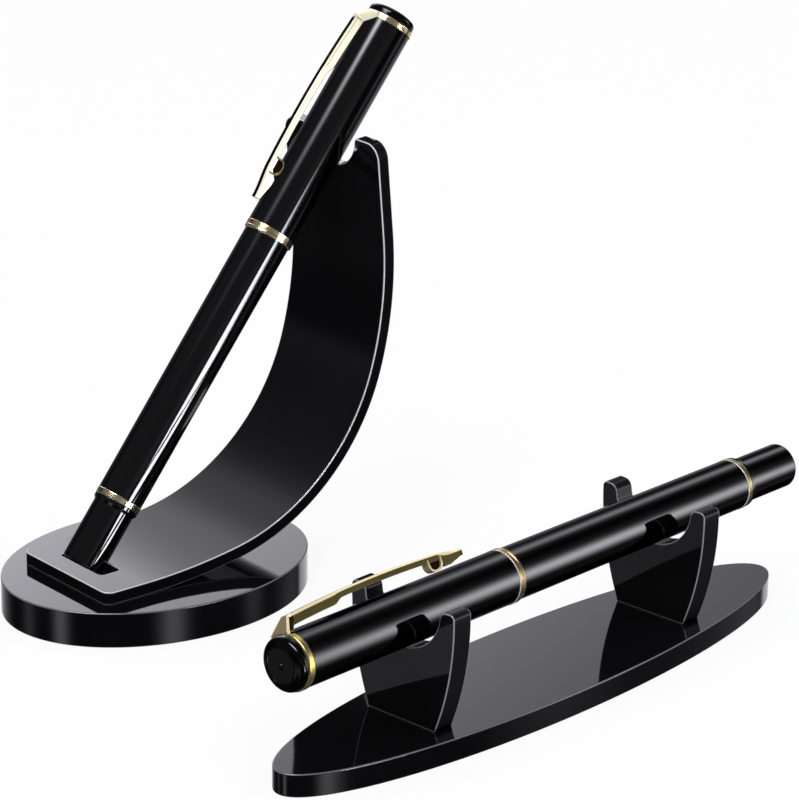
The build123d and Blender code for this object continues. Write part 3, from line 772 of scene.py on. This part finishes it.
UPRIGHT_CAP, UPRIGHT_BARREL, UPRIGHT_TAIL = (50.2, 10.45), (60.9, 9.9, 9.65), (14.45, 8.8)
UPRIGHT_CLIP, UPRIGHT_CLIP_TURN = 42.6, -9.0
LYING_CAP, LYING_BARREL, LYING_TAIL = (57.1, 11.0), (67.7, 10.65, 10.45), (15.15, 9.15)
LYING_CLIP, LYING_CLIP_TURN, LYING_END_X = 45.8, 28.0, -69.6

add_oval_base("upright_base", UPRIGHT_BASE, UPRIGHT)
add_oval_base("lying_base", LYING_BASE, LYING)
for cradle in CRADLE_X:
    add_cradle(cradle)
tip_x, _, tip_heading = add_arm()
add_pen("upright_pen", upright_pen_place(tip_x, tip_heading), UPRIGHT_CAP, UPRIGHT_BARREL, UPRIGHT_TAIL,
        UPRIGHT_CLIP, black_lacquer, pale_gold, bright_gold, 1.0)
lying_length = (LYING_TAIL[0] + BARREL_RING_HEIGHT + LYING_BARREL[0] + LYING_CAP[0] + CLIP_RING_HEIGHT
                + FINIAL_HEIGHT)
lying_z = LYING_BASE[2] + CRADLE_HEIGHT - CRADLE_NOTCH_DEPTH + REST_GAP + BAND_RIM + LYING_CAP[1] / 2
tilt = math.radians(LYING_CLIP_TURN)
lying_place = axes((LYING_END_X + lying_length, 0, lying_z), (0, math.sin(tilt), math.cos(tilt)), (-1, 0, 0))
add_pen("lying_pen", lying_place, LYING_CAP, LYING_BARREL, LYING_TAIL, LYING_CLIP, deep_lacquer,
        deep_gold, painted_shade_gold, 0.0)

# Studio: bright and dark parts of the room, as (heading, height, spread across, spread up, strength)
GLOWS = ((-45.5, 1, 5, 9.5, 6.8), (21, 41, 6.5, 6.5, 1.8), (56, 16, 9, 6, 4.9), (60, 33, 11, 7, 0.9),
         (82, 44, 7, 7, 0.4), (190, 60, 6.5, 4.0, 1050.0), (-10, -29, 9, 4, 0.6), (177, -23, 5, 6, 1.3),
         (-97, -23, 5, 6, 1.3), (136, -23, 6, 5, 0.3), (225, 10, 25, 5, 0.3))
GLOW_LIMIT = 25.0
STRIP_STRENGTH = 25.0
SKY, GROUND = 0.16, 0.02
DIFFUSE_LIGHT = 0.8


def add_world():
    """Room light. The camera sees white, matt surfaces an even light, and gloss a studio worked out
    from the direction's heading and height: glows exp(-(a^2 + b^2) / 2) and one sharp-edged strip."""
    world = bpy.data.worlds.new("studio")
    bpy.context.scene.world = world
    tree = Tree(world)
    direction = tree.add("ShaderNodeTexCoord").outputs["Generated"]
    parts = tree.add("ShaderNodeSeparateXYZ", None, {"Vector": direction})
    x, y, z = (Term(tree, parts.outputs[i]) for i in range(3))
    heading = y.math("ARCTAN2", x) * (180 / math.pi)
    height = z.math("ARCSINE") * (180 / math.pi)
    light = height.rise(-3, 3) * (SKY - GROUND) + GROUND
    light = light * (1 - glow(heading, height, -18, 40, 15, 9, 0.95))
    light = light * (1 - glow(heading, height, 105, 12, 16, 14, 0.9))
    for at in GLOWS:
        light = light + glow(heading, height, *at).math("MINIMUM", GLOW_LIMIT)
    slant = height + (heading + 69) * 0.93 + 15
    strip = heading.rise(-91.5, -88.5) * (1 - slant.rise(-1.2, 1.0)) * height.rise(-20, -17)
    light = light + strip * STRIP_STRENGTH
    side = heading.rise(2, 10) * (1 - heading.rise(30, 110)) * height.rise(-30, -26) * (1 - height.rise(-14, -6))
    light = light + side * 1.0
    path = tree.add("ShaderNodeLightPath")
    camera, glossy = Term(tree, path.outputs["Is Camera Ray"]), Term(tree, path.outputs["Is Glossy Ray"])
    strength = camera + glossy * light + (1 - camera) * (1 - glossy) * DIFFUSE_LIGHT
    back = tree.add("ShaderNodeBackground", None, {"Color": (1, 1, 1.08, 1), "Strength": strength})
    tree.add("ShaderNodeOutputWorld", None, {"Surface": back.outputs["Background"]})


def glow(heading, height, at, level, across, up, strength):
    away = (heading - at).math("WRAP", 180.0, -180.0) * (math.cos(math.radians(level)) / across)
    above = (height - level) / up
    return (away * away + above * above).math("MULTIPLY", -0.5).math("EXPONENT") * strength


def add_floor():
    """Plain white floor that keeps part of the objects' shadow."""
    bpy.ops.mesh.primitive_plane_add(size=6.0, location=(0, 0, -0.0001))
    floor = bpy.context.object
    floor.name = "studio_floor"
    material = bpy.data.materials.new("floor_white")
    tree = Tree(material)
    speckle = tree.noise(2.0).rise(0.2, 0.8)
    matt = tree.add("ShaderNodeBsdfDiffuse", None,
                    {"Color": tree.blend(speckle, (0.93, 0.93, 0.93, 1), (0.95, 0.95, 0.95, 1))})
    bright = tree.add("ShaderNodeEmission", None, {"Color": (1, 1, 1, 1), "Strength": 1.0})
    camera = Term(tree, tree.add("ShaderNodeLightPath").outputs["Is Camera Ray"]) * 0.9
    mixed = tree.add("ShaderNodeMixShader", None, {0: camera, 1: matt.outputs[0], 2: bright.outputs[0]})
    tree.add("ShaderNodeOutputMaterial", None, {"Surface": mixed.outputs[0]})
    floor.data.materials.append(material)
    floor.visible_glossy = False


def add_lamp(name, place, target, size, power):
    data = bpy.data.lights.new(name, "AREA")
    data.shape, data.size, data.energy = "SQUARE", size, power
    lamp = bpy.data.objects.new(name, data)
    bpy.context.scene.collection.objects.link(lamp)
    lamp.location = place
    lamp.rotation_euler = (Vector(target) - Vector(place)).to_track_quat("-Z", "Y").to_euler()
    lamp.visible_camera = False
    lamp.visible_glossy = False


def add_camera():
    """Camera of the fitted view: a heading, a downward pitch and a small roll."""
    data = bpy.data.cameras.new("camera")
    data.lens, data.sensor_width, data.clip_start = 180.4, 36.0, 0.01
    camera = bpy.data.objects.new("camera", data)
    bpy.context.scene.collection.objects.link(camera)
    heading, pitch, roll = math.radians(43.488), math.radians(-19.984), math.radians(0.517)
    ahead = Vector((math.cos(pitch) * math.cos(heading), math.cos(pitch) * math.sin(heading), math.sin(pitch)))
    level = ahead.cross(Vector((0, 0, 1))).normalized()
    over = level.cross(ahead)
    right = level * math.cos(roll) + over * math.sin(roll)
    up = over * math.cos(roll) - level * math.sin(roll)
    turned = Matrix((right, up, -ahead)).transposed().to_4x4()
    camera.matrix_world = Matrix.Translation((-0.538847, -0.474237, 0.319691)) @ turned
    bpy.context.scene.camera = camera


add_world()
add_floor()
add_lamp("key_lamp", (-0.45, -0.1, 0.55), (0, 0.04, 0.03), 0.4, 1.2)
add_lamp("fill_lamp", (0.35, -0.45, 0.45), (0, 0.04, 0.03), 0.5, 0.8)
add_camera()
bpy.context.scene.view_settings.view_transform = "Standard"
